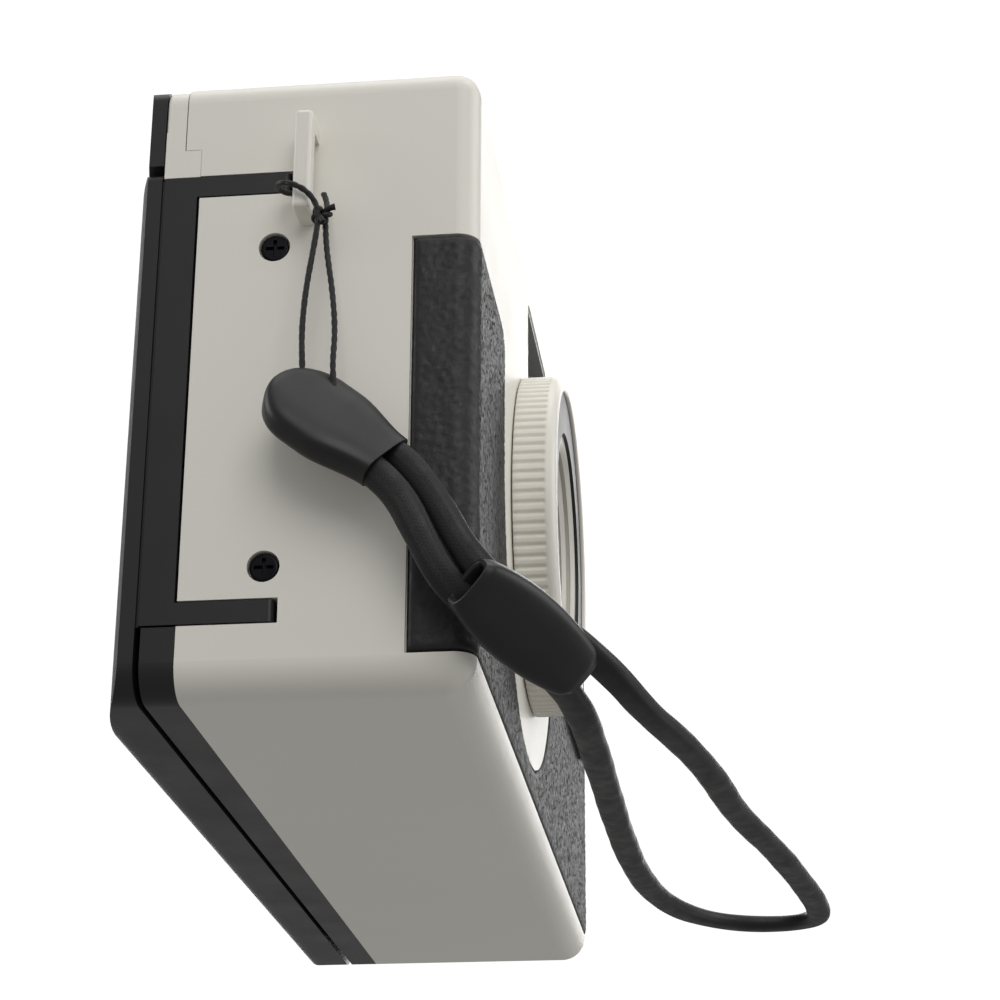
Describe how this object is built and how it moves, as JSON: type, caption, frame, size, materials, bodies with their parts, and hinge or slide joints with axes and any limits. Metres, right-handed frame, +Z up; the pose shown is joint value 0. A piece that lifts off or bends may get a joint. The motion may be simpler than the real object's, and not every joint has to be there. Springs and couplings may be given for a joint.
{
  "type": "half frame camera",
  "caption": "Compact half frame film camera with hinged back, flash switch ring, leatherette front and a wrist strap looped on its side lug.",
  "frame": {"origin": "on the base plane under the middle of the case, 17 mm behind the front face", "axes": "+Z up through the top plate, -Y out of the lens, -X is the hinge and strap side, +X is the latch side"},
  "size_m": [0.1185, 0.0658, 0.0616],
  "materials": {
    "cream_plastic": "fine satin moulded ABS",
    "black_plastic": "satin moulded ABS",
    "black_gloss": "smooth moulded ABS",
    "inner_black": "matt light-absorbing ABS",
    "leatherette": "pebbled leatherette",
    "lens_hood_plastic": "stepped moulded ABS",
    "bezel_grey": "smooth grey ABS",
    "clear_glass": "coated clear acrylic",
    "frosted_window": "ribbed frosted acrylic",
    "steel": "zinc plated",
    "black_screw": "black oxide",
    "chrome_reflector": "vacuum metallised",
    "board": "solder-masked laminate",
    "capacitor_sleeve": "shrink sleeve",
    "battery_jacket": "plain printed sleeve with no marks",
    "brass": "plated strip",
    "foam": "open cell foam",
    "strap_string": "braided nylon",
    "strap_cord": "woven flat cord",
    "strap_fitting": "moulded soft PVC",
    "dial_white": "printed dial"
  },
  "bodies": {
    "housing": {"aperture_plate": "steel", "battery": "battery_jacket", "battery_contacts": "brass", "battery_lid": "inner_black", "button_spring": "steel", "button_spring_seat": "steel", "chassis_screws": "steel", "circuit_board": "board", "counter_window": "clear_glass", "eyepiece_cover": "black_plastic", "eyepiece_lens": "clear_glass", "film_chassis": "inner_black", "flash_capacitor": "capacitor_sleeve", "flash_reflector": "chrome_reflector", "flash_tube": "clear_glass", "flash_window": "frosted_window", "front_cover": "cream_plastic", "front_lens": "clear_glass", "front_plate": "black_gloss", "hinge_pins": "steel", "leatherette": "leatherette", "lens_barrel": "inner_black", "lens_black_ring": "black_plastic", "lens_hood": "lens_hood_plastic", "rear_frame": "black_plastic", "rear_lens": "clear_glass", "rear_top_trim": "cream_plastic", "shutter_plate": "inner_black", "side_screws": "black_screw", "strap_cap": "strap_fitting", "strap_cord": "strap_cord", "strap_knot": "strap_string", "strap_lug": "cream_plastic", "strap_slider": "strap_fitting", "strap_string": "strap_string", "viewfinder_bezel": "bezel_grey", "viewfinder_lens": "clear_glass", "viewfinder_tunnel": "inner_black"},
    "door": {"back_door": "black_plastic", "hinge_leaf": "black_plastic", "pressure_plate": "steel", "pressure_spring": "steel", "light_seal": "foam", "door_catch": "black_plastic"},
    "latch": {"latch_slider": "black_gloss"},
    "flash_switch": {"flash_ring": "cream_plastic"},
    "release": {"shutter_button": "black_gloss"},
    "blade": {"shutter_blade": "steel"},
    "advance": {"take_up_spool": "inner_black", "advance_wheel": "black_plastic"},
    "sprocket": {"film_sprocket": "inner_black"},
    "counter": {"counter_dial": "dial_white"},
    "rewind": {"rewind_hub": "black_plastic", "rewind_fork": "inner_black", "crank_pin": "steel"},
    "crank": {"crank_lever": "black_gloss"}
  },
  "joints": [
    {"name": "door_hinge", "type": "hinge", "parent": "housing", "child": "door", "pos_m": [-0.0541, 0.0016, 0.028], "axis": [0, 0, 1], "range_deg": [0, 90]},
    {"name": "latch_slide", "type": "slide", "parent": "housing", "child": "latch", "axis": [0, 0, 1], "range_m": [0, 0.002], "stiffness_N_per_m": 120},
    {"name": "flash_ring_turn", "type": "hinge", "parent": "housing", "child": "flash_switch", "pos_m": [-0.011, -0.019, 0.0295], "axis": [0, 1, 0], "range_deg": [0, 30]},
    {"name": "shutter_press", "type": "slide", "parent": "housing", "child": "release", "axis": [0, 0, -1], "range_m": [0, 0.0012], "stiffness_N_per_m": 100, "deforming": ["button_spring"]},
    {"name": "shutter_blade_swing", "type": "hinge", "parent": "housing", "child": "blade", "pos_m": [-0.019, -0.0046, 0.0215], "axis": [0, 1, 0], "range_deg": [0, 35], "stiffness_Nm_per_rad": 0.000004},
    {"name": "advance_turn", "type": "hinge", "parent": "housing", "child": "advance", "pos_m": [-0.04, 0.0046, 0.03], "axis": [0, 0, 1], "continuous": true},
    {"name": "sprocket_turn", "type": "hinge", "parent": "housing", "child": "sprocket", "pos_m": [-0.025, 0.0054, 0.03], "axis": [0, 0, 1], "continuous": true},
    {"name": "counter_turn", "type": "hinge", "parent": "housing", "child": "counter", "pos_m": [-0.038, -0.0044, 0.058], "axis": [0, 0, 1], "continuous": true},
    {"name": "rewind_turn", "type": "hinge", "parent": "housing", "child": "rewind", "pos_m": [0.038, 0.002, 0.06], "axis": [0, 0, 1], "continuous": true},
    {"name": "crank_fold", "type": "hinge", "parent": "rewind", "child": "crank", "pos_m": [0.038, 0.0079, 0.06025], "axis": [-1, 0, 0], "range_deg": [0, 120]}
  ],
  "couplings": [
    {"joint": "counter_turn", "follows": "sprocket_turn", "ratio": -0.026316}
  ]
}
